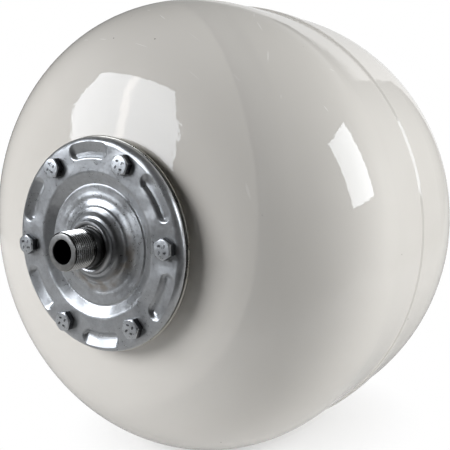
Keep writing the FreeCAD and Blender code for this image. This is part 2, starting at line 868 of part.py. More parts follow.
def make_nipple_weld():
    foot = plate_face + size.liner_floor + size.liner_wall
    start = size.tail_radius + size.weld_gap
    return turned("nipple_weld", [
        (foot, start),
        (foot + size.tail_length - size.liner_wall, start),
        (foot, start + size.nipple_bead),
    ])


# The bladder hangs by its lip in the neck, in its moulded form, and follows the shells
def make_bladder():
    neck = size.neck_radius - size.shell_wall - size.bladder_neck_gap
    side = size.tank_radius - size.shell_wall - size.bladder_side_gap
    front = neck_station + size.shell_wall + size.bladder_front_gap
    rear = pole - size.shell_wall - size.bladder_rear_gap
    return pressed("bladder", [
        (lip_front, lip_radius - size.bladder_lip_inset),
        (lip_front, neck, size.lip_bend + size.shell_wall),
        (front, neck, size.bladder_neck_bend),
        (front, side, size.front_knuckle - size.bladder_front_inset),
        (rear, side, size.rear_knuckle - size.bladder_rear_inset),
        (rear, 0.0),
    ], size.bladder_wall)


def make_valve_boss():
    start = pole - size.boss_inside
    return turned("valve_boss", [
        (start, size.stem_root + size.stem_fit),
        (start, size.boss_outer),
        (boss_end - size.boss_bevel, size.boss_outer),
        (boss_end, size.boss_outer - size.boss_bevel),
        (boss_end, size.stem_root + size.stem_fit),
    ])


def make_boss_weld():
    start = size.boss_outer + size.weld_gap
    end = start + size.boss_bead
    return turned("boss_weld", [
        (crown_at(start) + size.weld_gap, start),
        (crown_at(start) + size.boss_bead, start),
        (crown_at(end) + size.weld_gap, end),
    ])


# The stem: a root in the boss, a hexagon on the o-ring, and the threaded part for the cap
def make_valve_stem():
    body = new_body("valve_stem")
    wrench = hexagon(body, "stem_hexagon", stem_seat, size.stem_flats, 0.0)
    pad(body, wrench, size.stem_hexagon)
    doc.recompute()
    bevel_hexagon(body, "stem_hexagon_bevel", hexagon_end, -1.0, size.stem_flats, size.stem_bevel)
    doc.recompute()
    outline = Outline()
    draw_chain(outline, [
        (boss_end - size.stem_root_length, 0.0),
        (boss_end - size.stem_root_length, size.stem_root),
        (stem_seat + size.stem_hexagon * 0.5, size.stem_root),
        (stem_seat + size.stem_hexagon * 0.5, size.stem_thread),
        (stem_end - size.stem_bevel, size.stem_thread),
        (stem_end, size.stem_thread - size.stem_bevel),
        (stem_end, 0.0),
    ], closed=True)
    revolve(body, outline.write(body, "stem_section"))
    doc.recompute()
    bore = Outline()
    bore_floor = barrel_end - size.barrel_length - size.pin_seal_length - size.pin_travel
    draw_chain(bore, [
        (boss_end - size.stem_root_length - 1.0, 0.0),
        (boss_end - size.stem_root_length - 1.0, size.air_way),
        (bore_floor - size.air_way, size.air_way),
        (bore_floor, size.stem_bore),
        (stem_end + 1.0, size.stem_bore),
        (stem_end + 1.0, 0.0),
    ], closed=True)
    revolve(body, bore.write(body, "stem_bore_section"), "Groove")
    return body


def make_valve_gasket():
    body = new_body("valve_gasket")
    outline = Outline()
    centre = boss_end + size.o_ring_section * 0.5
    ring = outline.circle((centre.value, size.o_ring_radius.value), size.o_ring_section.value / 2)
    outline.measure("Radius", ring, size.o_ring_section * 0.5)
    outline.pin(ring, 3, (centre, size.o_ring_radius))
    revolve(body, outline.write(body, "valve_gasket_section"))
    return body


# The core: a barrel sealed in the stem's bore, and a sprung pin with its own seal
def make_core_barrel():
    start = barrel_end - size.barrel_length
    return turned("core_barrel", [
        (start, size.pin_radius + size.pin_fit),
        (start, size.barrel_radius),
        (barrel_end, size.barrel_radius),
        (barrel_end, size.barrel_bore),
        (start + size.barrel_shoulder, size.barrel_bore),
        (start + size.barrel_shoulder, size.pin_radius + size.pin_fit),
    ])


def make_core_seal():
    start = barrel_end - size.core_seal_set_back - size.core_seal_length
    end = start + size.core_seal_length
    return turned("core_seal", [
        (start, size.barrel_radius),
        (start, size.stem_bore - size.core_seal_bevel),
        (start + size.core_seal_bevel, size.stem_bore),
        (end - size.core_seal_bevel, size.stem_bore),
        (end, size.stem_bore - size.core_seal_bevel),
        (end, size.barrel_radius),
    ])


def make_core_pin():
    head_end = barrel_end - size.pin_head_depth
    tail = barrel_end - size.barrel_length - size.pin_seal_length - size.pin_tail
    return turned("core_pin", [
        (tail, 0.0),
        (tail, size.pin_radius),
        (head_end - size.pin_head_length, size.pin_radius),
        (head_end - size.pin_head_length, size.pin_head),
        (head_end - size.pin_head_bevel, size.pin_head),
        (head_end, size.pin_head - size.pin_head_bevel),
        (head_end, 0.0),
    ])


def make_pin_seal():
    top = barrel_end - size.barrel_length
    return turned("pin_seal", [
        (top - size.pin_seal_length, size.pin_radius),
        (top - size.pin_seal_length, size.pin_seal_foot),
        (top, size.pin_seal_radius),
        (top, size.pin_radius),
    ])


# The spring stands on the barrel's inner shoulder under the pin's head
def make_core_spring():
    body = new_body("core_spring")
    foot = barrel_end - size.barrel_length + size.barrel_shoulder + size.spring_wire
    head = barrel_end - size.pin_head_depth - size.pin_head_length - size.spring_wire
    outline = Outline()
    wire = outline.circle((foot.value, size.spring_radius.value), size.spring_wire.value)
    outline.measure("Radius", wire, size.spring_wire)
    outline.pin(wire, 3, (foot, size.spring_radius))
    sketch = outline.write(body, "spring_wire_section")
    helix = body.newObject("PartDesign::AdditiveHelix", "spring_helix")
    helix.Profile = sketch
    helix.ReferenceAxis = (sketch, ["H_Axis"])
    helix.Mode = "pitch-height-angle"
    helix.Pitch = size.spring_pitch.value
    bind(helix, "Pitch", size.spring_pitch)
    helix.Height = (head - foot).value
    bind(helix, "Height", head - foot)
    return body


# The cap screws onto the stem down to its hexagon
def make_valve_cap():
    thread_end = cap_end - size.cap_wall - size.cap_seal_thickness
    bore = size.stem_thread + size.cap_clearance
    body = turned("valve_cap", [
        (cap_mouth, bore),
        (cap_mouth, size.cap_radius),
        (cap_end, size.cap_radius, size.cap_edge),
        (cap_end, 0.0),
        (cap_end - size.cap_wall, 0.0),
        (cap_end - size.cap_wall, size.cap_seal_radius),
        (thread_end, size.cap_seal_radius),
        (thread_end, bore),
    ])
    ribs = Outline()
    rib = ribs.circle((size.cap_radius.value, 0.0), size.cap_rib.value)
    ribs.measure("Radius", rib, size.cap_rib)
    ribs.measure("DistanceX", -1, 1, rib, 3, size.cap_radius)
    ribs.rule("PointOnObject", rib, 3, -1)
    rib_sketch = ribs.write(body, "cap_rib_circle", "XZ_Plane", cap_mouth + size.cap_rib_start)
    rib_pad = pad(body, rib_sketch, size.cap_rib_length)
    doc.recompute()
    repeat_round(body, [rib_pad], CAP_RIBS)
    return body


def make_cap_seal():
    top = cap_end - size.cap_wall
    return turned("cap_seal", [
        (top - size.cap_seal_thickness, 0.0),
        (top - size.cap_seal_thickness, size.cap_seal_radius - size.weld_gap),
        (top, size.cap_seal_radius - size.weld_gap),
        (top, 0.0),
    ])


parts = [
    make_front_shell(),
    make_rear_shell(),
    make_seam_weld(),
    make_backing_ring(),
    make_flange_plate(),
    make_pipe_nipple(),
    make_flange_liner(),
    make_nipple_weld(),
    make_bladder(),
    *make_bolts(),
    make_valve_boss(),
    make_boss_weld(),
    make_valve_stem(),
    make_valve_gasket(),
    make_core_barrel(),
    make_core_seal(),
    make_core_pin(),
    make_pin_seal(),
    make_core_spring(),
    make_valve_cap(),
    make_cap_seal(),
]

doc.recompute()
for item in doc.Objects:
    if "Invalid" in item.State or "Error" in item.State:
        raise RuntimeError("%s failed: %s" % (item.Label, item.getStatusString()))
for body in parts:
    if body.Shape.isNull() or not body.Shape.isValid():
        raise RuntimeError("%s has no valid shape" % body.Label)
    if len(body.Shape.Solids) != 1:
        raise RuntimeError("%s is %d solids" % (body.Label, len(body.Shape.Solids)))

os.makedirs("parts", exist_ok=True)
for body in parts:
    body.Shape.exportStep("parts/%s.step" % body.Label)
    print("%-14s %10.1f mm3" % (body.Label, body.Shape.Volume))
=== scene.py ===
import math
import bpy
from mathutils import Euler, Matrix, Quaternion, Vector


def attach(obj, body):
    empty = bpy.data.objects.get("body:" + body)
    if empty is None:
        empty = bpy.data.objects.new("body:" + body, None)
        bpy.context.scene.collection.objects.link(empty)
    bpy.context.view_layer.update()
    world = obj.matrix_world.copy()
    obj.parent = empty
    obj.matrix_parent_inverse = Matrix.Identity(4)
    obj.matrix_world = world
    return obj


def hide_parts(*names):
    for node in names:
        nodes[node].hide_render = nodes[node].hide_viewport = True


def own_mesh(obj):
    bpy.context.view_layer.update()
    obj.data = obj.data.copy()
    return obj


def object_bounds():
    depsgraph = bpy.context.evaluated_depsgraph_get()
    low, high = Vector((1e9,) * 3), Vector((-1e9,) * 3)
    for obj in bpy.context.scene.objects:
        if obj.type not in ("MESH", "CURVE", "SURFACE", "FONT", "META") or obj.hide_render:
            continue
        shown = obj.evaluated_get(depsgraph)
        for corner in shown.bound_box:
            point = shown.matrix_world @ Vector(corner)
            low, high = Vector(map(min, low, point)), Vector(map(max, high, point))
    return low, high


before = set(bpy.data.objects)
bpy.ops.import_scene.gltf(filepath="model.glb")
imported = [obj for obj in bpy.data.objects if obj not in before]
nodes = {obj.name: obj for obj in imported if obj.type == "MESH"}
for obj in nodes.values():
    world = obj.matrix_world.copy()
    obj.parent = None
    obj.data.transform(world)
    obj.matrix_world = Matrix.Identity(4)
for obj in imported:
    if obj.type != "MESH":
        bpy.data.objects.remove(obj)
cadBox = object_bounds()
print("stage 1: frame loaded,", len(nodes), "nodes")

weldDistance = 1e-6     # points nearer than this are one point


def deselectAll():
    if bpy.context.mode != "OBJECT":
        bpy.ops.object.mode_set(mode="OBJECT")
    bpy.ops.object.select_all(action="DESELECT")


def pick(*pieces):
    deselectAll()
    for piece in pieces:
        piece.select_set(True)
    bpy.context.view_layer.objects.active = pieces[0]


def finishPiece(piece, name, body, angle):
    # place, turn and size go into the mesh, so the object rests at the origin
    pick(piece)
    bpy.ops.object.transform_apply(location=True, rotation=True, scale=True)
    bpy.ops.object.shade_smooth_by_angle(angle=math.radians(angle))
    piece.name = name
    piece.data.name = name
    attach(piece, body)
    return piece


def applyModifiers(piece):
    pick(piece)
    for modifier in list(piece.modifiers):
        bpy.ops.object.modifier_apply(modifier=modifier.name)


def polyline(name, points):
    # a bare outline as a mesh of edges, drawn from its first point by extruding
    deselectAll()
    bpy.ops.mesh.primitive_plane_add(size=0.01, location=(0, 0, 0))
    piece = bpy.context.active_object
    piece.name = name
    bpy.ops.object.mode_set(mode="EDIT")
    bpy.ops.mesh.select_all(action="SELECT")
    bpy.ops.mesh.merge(type="CENTER")
    bpy.ops.transform.translate(value=points[0])
    for before, after in zip(points, points[1:]):
        step = Vector(after) - Vector(before)
        bpy.ops.mesh.extrude_region_move(TRANSFORM_OT_translate={"value": step})
    bpy.ops.object.mode_set(mode="OBJECT")
    return piece


def spun(name, profile, steps):
    # turns a closed profile of (radius, station) points in metres about the Y axis
    points = [(radius, station, 0.0) for radius, station in profile]
    piece = polyline(name, points + points[:1])
    bpy.ops.object.mode_set(mode="EDIT")
    bpy.ops.mesh.select_all(action="SELECT")
    bpy.ops.mesh.remove_doubles(threshold=weldDistance)
    bpy.ops.mesh.spin(steps=steps, angle=math.radians(360), center=(0, 0, 0), axis=(0, 1, 0))
    bpy.ops.mesh.select_all(action="SELECT")
    bpy.ops.mesh.remove_doubles(threshold=weldDistance)
    bpy.ops.mesh.normals_make_consistent(inside=False)
    bpy.ops.object.mode_set(mode="OBJECT")
    return piece


def addBevel(piece, width, segments, angle):
    bevel = piece.modifiers.new("edge", "BEVEL")
    bevel.width = width
    bevel.segments = segments
    bevel.limit_method = "ANGLE"
    bevel.angle_limit = math.radians(angle)


def cutWith(piece, tool, operation):
    boolean = piece.modifiers.new("cut", "BOOLEAN")
    boolean.operation = operation
    boolean.solver = "EXACT"
    boolean.object = tool
    applyModifiers(piece)
    bpy.data.objects.remove(tool)


def joined(pieces, name):
    pick(*pieces)
    bpy.ops.object.join()
    piece = bpy.context.active_object
    piece.name = name
    return piece


nippleSizes = {
    "pitch": 0.001814,
    "turns": 10,
    "firstTurn": -0.0189,
    "crestRadius": 0.01322,
    "rootRadius": 0.01206,
    "crestHalf": 0.00020,
    "rootHalf": 0.00082,
    "ridgeSink": 0.00012,       # how far the ridge's foot goes into the sleeve
    "crestSpare": 0.00002,      # what the trim takes off the ridge's crest
    "turnSteps": 64,
    "roundSteps": 96,
    "edge": 0.00012,
    # (radius, station) round the solid's section, from the bore's mouth
    "section": [
        (0.00865, -0.0183), (0.01190, -0.0183), (0.01206, -0.0181), (0.01206, -0.0012),
        (0.01280, -0.0005), (0.01280, 0.0), (0.01365, 0.0), (0.0140, 0.00035), (0.0140, 0.0076),
        (0.01430, 0.0078), (0.01475, 0.0074), (0.0152, 0.0067), (0.0159, 0.0061), (0.0168, 0.0058),
        (0.0177, 0.0059), (0.0185, 0.0065), (0.0190, 0.0075), (0.01920, 0.0092),
        (0.01920, 0.01265), (0.0205, 0.01265), (0.0252, 0.01712), (0.0252, 0.0195),
        (0.0160, 0.0195), (0.0160, 0.0207), (0.00815, 0.0207), (0.00815, -0.0179),
    ],
    # the ridge is trimmed to this bevelled sleeve
    "trim": [
        (0.0110, -0.0183), (0.01212, -0.0183), (0.01322, -0.0172), (0.01322, -0.0014),
        (0.01235, -0.0005), (0.0110, -0.0005),
    ],
}


def makeThreadedNipple(sizes):
    sleeve = spun("threadedNipple", sizes["section"], sizes["roundSteps"])
    addBevel(sleeve, sizes["edge"], segments=2, angle=40)
    applyModifiers(sleeve)
    middle, half, foot = sizes["firstTurn"], sizes["crestHalf"], sizes["rootHalf"]
    sunk = sizes["rootRadius"] - sizes["ridgeSink"]
    crest = sizes["crestRadius"] + sizes["crestSpare"]
    ridge = polyline("threadRidge", [
        (sunk, middle - foot, 0), (crest, middle - half, 0), (crest, middle + half, 0),
        (sunk, middle + foot, 0), (sunk, middle - foot, 0),
    ])
    bpy.ops.object.mode_set(mode="EDIT")
    bpy.ops.mesh.select_all(action="SELECT")
    bpy.ops.mesh.remove_doubles(threshold=weldDistance)
    bpy.ops.object.mode_set(mode="OBJECT")
    screw = ridge.modifiers.new("turns", "SCREW")
    screw.axis = "Y"
    screw.angle = math.radians(360)
    screw.screw_offset = sizes["pitch"]
    screw.iterations = sizes["turns"]
    screw.steps = screw.render_steps = sizes["turnSteps"]
    screw.use_merge_vertices = True
    screw.merge_threshold = weldDistance
    applyModifiers(ridge)
    bpy.ops.object.mode_set(mode="EDIT")
    bpy.ops.mesh.select_all(action="DESELECT")
    bpy.ops.mesh.select_non_manifold()
    bpy.ops.mesh.edge_face_add()
    bpy.ops.mesh.select_all(action="SELECT")
    bpy.ops.mesh.normals_make_consistent(inside=False)
    bpy.ops.object.mode_set(mode="OBJECT")
    cutWith(ridge, spun("ridgeTrim", sizes["trim"], sizes["roundSteps"]), "INTERSECT")
    nipple = joined([sleeve, ridge], "threadedNipple")
    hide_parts("pipe_nipple")
    return finishPiece(nipple, "threadedNipple", "vessel", 30)


nipple = makeThreadedNipple(nippleSizes)
print("stage 2: threaded nipple,", len(nipple.data.polygons), "faces")

boltSizes = {
    "flats": 0.013,
    "head": 0.0053,
    "shankRadius": 0.0039,
    "shankLength": 0.012,
    "circle": 0.063,
    "plateFace": 0.0122,
    "faceRadius": 0.00612,
    "faceRound": (0.00012, 0.00006),    # width and depth
    "chamfer": (0.0019, 0.00108),       # width and depth from the flat face's edge
    "headEdge": 0.00009,
    "shankSunk": 0.002,                 # how far the shank starts inside the head
    "shankTip": 0.0008,
    "headSteps": 64,
    "shankSteps": 32,
    "turns": [28, 4, 2, 27, 8, 7],      # how each bolt happens to be turned, in degrees
    "cornerTurn": 30,                   # from the middle of a flat to its corner
    # four clusters of plain parallel dashes on the head, as (across, up, turn), and the dashes of
    # each, as (offset, length)
    "clusters": [(-0.0023, 0.0022, 75), (0.0021, 0.0021, 20), (-0.0022, -0.0022, 25), (0.0022, -0.0021, 80)],
    "dashes": [(-0.0008, 0.0011), (0.0, 0.0015), (0.0008, 0.0012)],
    "dashWidth": 0.00044,
    "markHeight": 0.00026,
    "markEdge": 0.00007,
}


def makeBolt(sizes):
    face = sizes["plateFace"]
    deselectAll()
    bpy.ops.mesh.primitive_cylinder_add(
        vertices=6, radius=sizes["flats"] / math.sqrt(3), depth=sizes["head"],
        location=(0, face - sizes["head"] / 2, 0), rotation=(math.radians(90), 0, 0))
    head = bpy.context.active_object
    bpy.ops.object.transform_apply(location=True, rotation=True, scale=True)
    top = face - sizes["head"]
    rim = sizes["faceRadius"]
    roundWidth, roundDepth = sizes["faceRound"]
    chamferWidth, chamferDepth = sizes["chamfer"]
    envelope = spun("headEnvelope", [
        (0.0, top), (rim, top), (rim + roundWidth, top + roundDepth),
        (rim + chamferWidth, top + chamferDepth), (rim + chamferWidth, face), (0.0, face),
    ], sizes["headSteps"])
    cutWith(head, envelope, "INTERSECT")
    bpy.ops.object.mode_set(mode="EDIT")
    bpy.ops.mesh.select_all(action="SELECT")
    bpy.ops.mesh.remove_doubles(threshold=2 * weldDistance)
    bpy.ops.mesh.dissolve_limited(angle_limit=math.radians(1))
    bpy.ops.object.mode_set(mode="OBJECT")
    addBevel(head, sizes["headEdge"], segments=2, angle=20)
    applyModifiers(head)
    strokes = []
    for across, up, turn in sizes["clusters"]:
        turn = math.radians(turn)
        for offset, length in sizes["dashes"]:
            deselectAll()
            bpy.ops.mesh.primitive_cube_add(
                size=1, location=(across + offset * math.sin(turn), top, up + offset * math.cos(turn)))
            stroke = bpy.context.active_object
            stroke.scale = (length, sizes["markHeight"] * 2, sizes["dashWidth"])
            stroke.rotation_euler = (0, turn, 0)
            bpy.ops.object.transform_apply(location=True, rotation=True, scale=True)
            addBevel(stroke, sizes["markEdge"], segments=1, angle=30)
            applyModifiers(stroke)
            strokes.append(stroke)
    shankRadius, tip = sizes["shankRadius"], sizes["shankTip"]
    start, end = face - sizes["shankSunk"], face + sizes["shankLength"]
    shank = spun("shank", [
        (0.0, start), (shankRadius, start), (shankRadius, end - tip), (shankRadius - tip, end), (0.0, end),
    ], sizes["shankSteps"])
    return joined([head, shank] + strokes, "boltModel")


boltModel = makeBolt(boltSizes)
boltStep = 360 / len(boltSizes["turns"])
for number, turn in enumerate(boltSizes["turns"]):
    bolt = boltModel.copy()
    bolt.data = boltModel.data.copy()
    bpy.context.scene.collection.objects.link(bolt)
    around = math.radians(boltStep * number)
    bolt.rotation_euler = (0, math.radians(boltSizes["cornerTurn"] - turn), 0)
    bolt.location = (boltSizes["circle"] * math.cos(around), 0, boltSizes["circle"] * math.sin(around))
    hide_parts("bolt_%d" % (number + 1))
    finishPiece(bolt, "hexBolt%d" % (number + 1), "vessel", 28)
bpy.data.objects.remove(boltModel)
print("stage 3: bolts")

springSizes = {
    "radius": 0.0012,
    "wire": 0.0002,
    "pitch": 0.00115,
    "foot": 0.3845852,      # where it stands in the barrel
    "length": 0.0056,
    "travel": 0.0012,       # the pin's stroke, which the spring gives way by
    "turnSteps": 28,
    "wireSteps": 10,
}


def makeCoreSpring(sizes):
    rise = sizes["length"] - 2 * sizes["wire"]
    turns = rise / sizes["pitch"]
    deselectAll()
    bpy.ops.mesh.primitive_circle_add(
        vertices=sizes["wireSteps"], radius=sizes["wire"],
        location=(sizes["radius"], sizes["foot"] + sizes["wire"], 0))
    spring = bpy.context.active_object
    bpy.ops.object.transform_apply(location=True, rotation=True, scale=True)
    coil = spring.modifiers.new("coil", "SCREW")
    coil.axis = "Y"
    coil.angle = math.radians(360 * turns)
    coil.screw_offset = rise
    coil.steps = coil.render_steps = round(sizes["turnSteps"] * turns)
    applyModifiers(spring)
    bpy.ops.object.mode_set(mode="EDIT")
    bpy.ops.mesh.select_all(action="SELECT")
    bpy.ops.mesh.fill_holes(sides=0)
    bpy.ops.mesh.select_all(action="SELECT")
    bpy.ops.mesh.normals_make_consistent(inside=False)
    bpy.ops.object.mode_set(mode="OBJECT")
    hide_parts("core_spring")
    finishPiece(spring, "coreSpring", "vessel", 60)
    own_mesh(spring)


makeCoreSpring(springSizes)
print("stage 4: core spring")


noiseSpan = (0.3, 0.7)     # the part of its range that a noise mostly fills


def newMaterial(name, **plain):
    material = bpy.data.materials.new(name)
    material.use_nodes = True
    tree = material.node_tree
    shader = tree.nodes["Principled BSDF"]
    for socket, value in plain.items():
        shader.inputs[socket].default_value = value
    coords = tree.nodes.new("ShaderNodeTexCoord")
    return material, tree, shader, coords.outputs["Object"]


def texture(tree, kind, place, scale, **settings):
    node = tree.nodes.new("ShaderNodeTex" + kind)
    tree.links.new(place, node.inputs["Vector"])
    node.inputs["Scale"].default_value = scale
    for name, value in settings.items():
        node.inputs[name].default_value = value
    return node


def ramp(tree, source, low, high, lowValue=0.0, highValue=1.0):
    node = tree.nodes.new("ShaderNodeMapRange")
    node.interpolation_type = "SMOOTHSTEP"
    tree.links.new(source, node.inputs["Value"])
    node.inputs["From Min"].default_value = low
    node.inputs["From Max"].default_value = high
    node.inputs["To Min"].default_value = lowValue
    node.inputs["To Max"].default_value = highValue
    return node.outputs["Result"]


def combine(tree, operation, first, second):
    node = tree.nodes.new("ShaderNodeMath")
    node.operation = operation
    for socket, value in zip(node.inputs, (first, second)):
        if isinstance(value, (int, float)):
            socket.default_value = value
        else:
            tree.links.new(value, socket)
    return node.outputs[0]


def both(tree, first, second):
    return combine(tree, "MULTIPLY", first, second)


def either(tree, first, second):
    return combine(tree, "MAXIMUM", first, second)


def tint(tree, factor, first, second):
    node = tree.nodes.new("ShaderNodeMix")
    node.data_type = "RGBA"
    for socket, value in ((node.inputs[0], factor), (node.inputs[6], first), (node.inputs[7], second)):
        if isinstance(value, tuple):
            socket.default_value = value + (1.0,)
        elif isinstance(value, (int, float)):
            socket.default_value = value
        else:
            tree.links.new(value, socket)
    return node.outputs[2]


def mottled(tree, noise, tones, span=noiseSpan):
    # two tones that run into each other along a noise
    return tint(tree, ramp(tree, noise.outputs["Fac"], *span), *tones)


def roughen(tree, shader, noise, values, span=noiseSpan):
    tree.links.new(ramp(tree, noise.outputs["Fac"], *span, *values), shader.inputs["Roughness"])


def bump(tree, shader, height, strength, distance, under=None):
    node = tree.nodes.new("ShaderNodeBump")
    tree.links.new(height, node.inputs["Height"])
    node.inputs["Strength"].default_value = strength
    node.inputs["Distance"].default_value = distance
    if under:
        tree.links.new(under, node.inputs["Normal"])
    tree.links.new(node.outputs["Normal"], shader.inputs["Normal"])
    return node.outputs["Normal"]


def axes(tree, vector):
    node = tree.nodes.new("ShaderNodeSeparateXYZ")
    tree.links.new(vector, node.inputs[0])
    return {"x": node.outputs[0], "y": node.outputs[1], "z": node.outputs[2]}


def fromAxis(tree, place):
    # distance from the tank's axis
    part = axes(tree, place)
    squares = combine(tree, "ADD", both(tree, part["x"], part["x"]), both(tree, part["z"], part["z"]))
    return combine(tree, "SQRT", squares, 0.0)


def wear(material, names):
    for name in names:
        piece = bpy.data.objects[name]
        piece.data.materials.clear()
        piece.data.materials.append(material)


photo = {
    "size": 450,        # its width and height in pixels
    "cameraPlace": (0.36519, -0.36664, 0.06271),
    "cameraTurn": (84.147, 2.994, 33.753),      # in degrees
    "lens": 60.817,                             # in millimetres, as the sensor's width
    "sensor": 36,
}


def seenAt(piece, across, down):
    # where the line of sight through a pixel of the photograph meets a piece
    middle = photo["size"] / 2
    scale = photo["sensor"] / photo["lens"] / photo["size"]
    sight = Vector(((across - middle) * scale, (middle - down) * scale, -1))
    sight.rotate(Euler([math.radians(turn) for turn in photo["cameraTurn"]]))
    return piece.ray_cast(photo["cameraPlace"], sight)[1]


paintLook = {
    "tones": ((0.665, 0.642, 0.602), (0.695, 0.672, 0.632)),
    "toneScale": 7.0,
    "toneSpan": (0.35, 0.65),
    "roughness": (0.025, 0.04),
    "hazeScale": 18.0,
    "hazeSpan": (0.3, 0.75),
    "peelScale": 260.0,
    "peel": (0.03, 0.001),          # orange peel: strength and depth
    "speckScale": 55.0,
    "speckEdge": (0.035, 0.02),     # outer and inner edge, in cells of the pattern
    "speckCells": (0.62, 0.64),     # cells with a higher number than these have a speck
    "speckTone": (0.16, 0.14, 0.12),
    "strokeEdge": (1.3, 0.5),       # where a stroke begins and is full, in its own half widths
    # short pale strokes: (start, end, width, strength), the ends as pixels of the photograph
    "paleStrokes": [
        ((147, 10), (150, 10.5), 0.00053, 0.7),
        ((160, 15), (165, 19), 0.00053, 0.7),
        ((84, 40), (88, 40), 0.00053, 0.7),
        ((100, 39), (106, 39.5), 0.00053, 0.6),
        ((135, 43), (147, 47), 0.00046, 0.5),
        ((189, 33), (200, 41), 0.0004, 0.3),
        ((188, 70), (200, 80), 0.0004, 0.3),
        ((254, 13), (254, 17), 0.00053, 0.6),
        ((257, 22), (262, 30), 0.00059, 0.7),
        ((268, 51), (268, 61), 0.00053, 0.8),
        ((324, 106), (328, 111), 0.00059, 0.7),
        ((330, 69), (334, 71), 0.00059, 0.7),
        ((233, 74), (240, 81), 0.00046, 0.4),
        ((281, 95), (281, 98), 0.00046, 0.5),
        # the last, wide and faint, is a painted reflection on the paint
        ((246, 184), (250, 198), 0.00172, 0.2),
    ],
    "paleStrokeTone": (0.95, 0.94, 0.92),
    # the same for three dark specks and a scratch
    "scratches": [
        ((303, 46), (303.6, 46.4), 0.0005, 0.6),
        ((262, 215), (262.6, 215.5), 0.0004, 0.5),
        ((408, 318.6), (408, 319.6), 0.0009, 0.8),
        ((407, 321), (395, 345), 0.0003, 0.35),
    ],
    "scratchTone": (0.12, 0.11, 0.10),
}


def wearAndReflectionStrokes(tree, place, strokes):
    # full strength inside thin ellipsoids that lie in the shell's surface
    shell = bpy.data.objects["front_shell"]
    total = 0.0
    for startPixel, endPixel, width, strength in strokes:
        start, end = seenAt(shell, *startPixel), seenAt(shell, *endPixel)
        run = end - start
        inside = tree.nodes.new("ShaderNodeMapping")
        inside.vector_type = "TEXTURE"
        inside.inputs["Location"].default_value = (start + end) / 2
        inside.inputs["Rotation"].default_value = run.to_track_quat("X", "Z").to_euler()
        inside.inputs["Scale"].default_value = ((run.length + width) / 2, width / 2, width / 2)
        tree.links.new(place, inside.inputs["Vector"])
        away = tree.nodes.new("ShaderNodeVectorMath")
        away.operation = "LENGTH"
        tree.links.new(inside.outputs["Vector"], away.inputs[0])
        stroke = ramp(tree, away.outputs["Value"], *paintLook["strokeEdge"], 0.0, strength)
        total = either(tree, stroke, total)
    return total


def makeTankPaint(look):
    material, tree, shader, place = newMaterial("tankPaint", IOR=1.5)
    tone = texture(tree, "Noise", place, look["toneScale"], Detail=3.0)
    base = mottled(tree, tone, look["tones"], look["toneSpan"])
    specks = texture(tree, "Voronoi", place, look["speckScale"])
    isSpeck = both(tree, ramp(tree, specks.outputs["Distance"], *look["speckEdge"]),
                   ramp(tree, specks.outputs["Color"], *look["speckCells"]))
    base = tint(tree, isSpeck, base, look["speckTone"])
    # pale strokes tint the paint; the wide faint one is a painted reflection
    base = tint(tree, wearAndReflectionStrokes(tree, place, look["paleStrokes"]), base, look["paleStrokeTone"])
    base = tint(tree, wearAndReflectionStrokes(tree, place, look["scratches"]), base, look["scratchTone"])
    tree.links.new(base, shader.inputs["Base Color"])
    haze = texture(tree, "Noise", place, look["hazeScale"], Detail=4.0)
    roughen(tree, shader, haze, look["roughness"], look["hazeSpan"])
    peel = texture(tree, "Noise", place, look["peelScale"], Detail=1.0)
    bump(tree, shader, peel.outputs["Fac"], *look["peel"])
    return material


plateLook = {
    "cloudScale": 45.0,
    "cloudTones": ((0.50, 0.515, 0.53), (0.62, 0.635, 0.65)),
    "cloudRoughness": (0.29, 0.34),
    "spangleScale": 150.0,
    "spangleSpan": (0.2, 0.8),
    "spangleTone": (0.42, 0.43, 0.445),
    "spangleShare": 0.22,
    "grainScale": 420.0,
    "grainSpan": (0.35, 0.62),
    "grainTone": (0.36, 0.365, 0.375),
    "grainShare": 0.30,
    "grainRoughness": (-0.04, 0.06),
    "grain": (0.12, 0.0003),        # strength and depth
    # painted shade in the groove round the mouth: radii where it comes in and where it ends
    "grooveIn": (0.0205, 0.0222),
    "grooveOut": (0.0262, 0.0246),
    "grooveShadeShare": 0.55,
    "grooveShadeTone": (0.16, 0.158, 0.155),
    # a faint brown tide mark round the lower side of the boss
    "stainIn": (0.022, 0.027),
    "stainOut": (0.036, 0.029),
    "stainBelow": (0.018, -0.006),
    "stainScale": 120.0,
    "stainSpan": (0.38, 0.66),
    "stainShare": 0.60,
    "stainTone": (0.30, 0.235, 0.17),
    # small dark nicks in some cells of a pattern, with ragged edges
    "nickScale": 340.0,
    "nickRagged": 0.25,
    "nickEdge": (0.215, 0.165),
    "nickCells": (0.80, 0.82),
    "nickShare": 0.6,
    "nickTone": (0.12, 0.10, 0.09),
    # pressed sheet is never quite flat: a slow wave under the fine grain
    "waveScale": 34.0,
    "waveDepth": 0.0030,
    # the press leaves shallow rings round the boss: (radius, half width) and the height in millimetres
    "rings": [(0.0232, 0.0024, -0.6), (0.0266, 0.0014, 0.3), (0.0348, 0.0030, 0.12)],
    "ringUnit": 0.001,
}


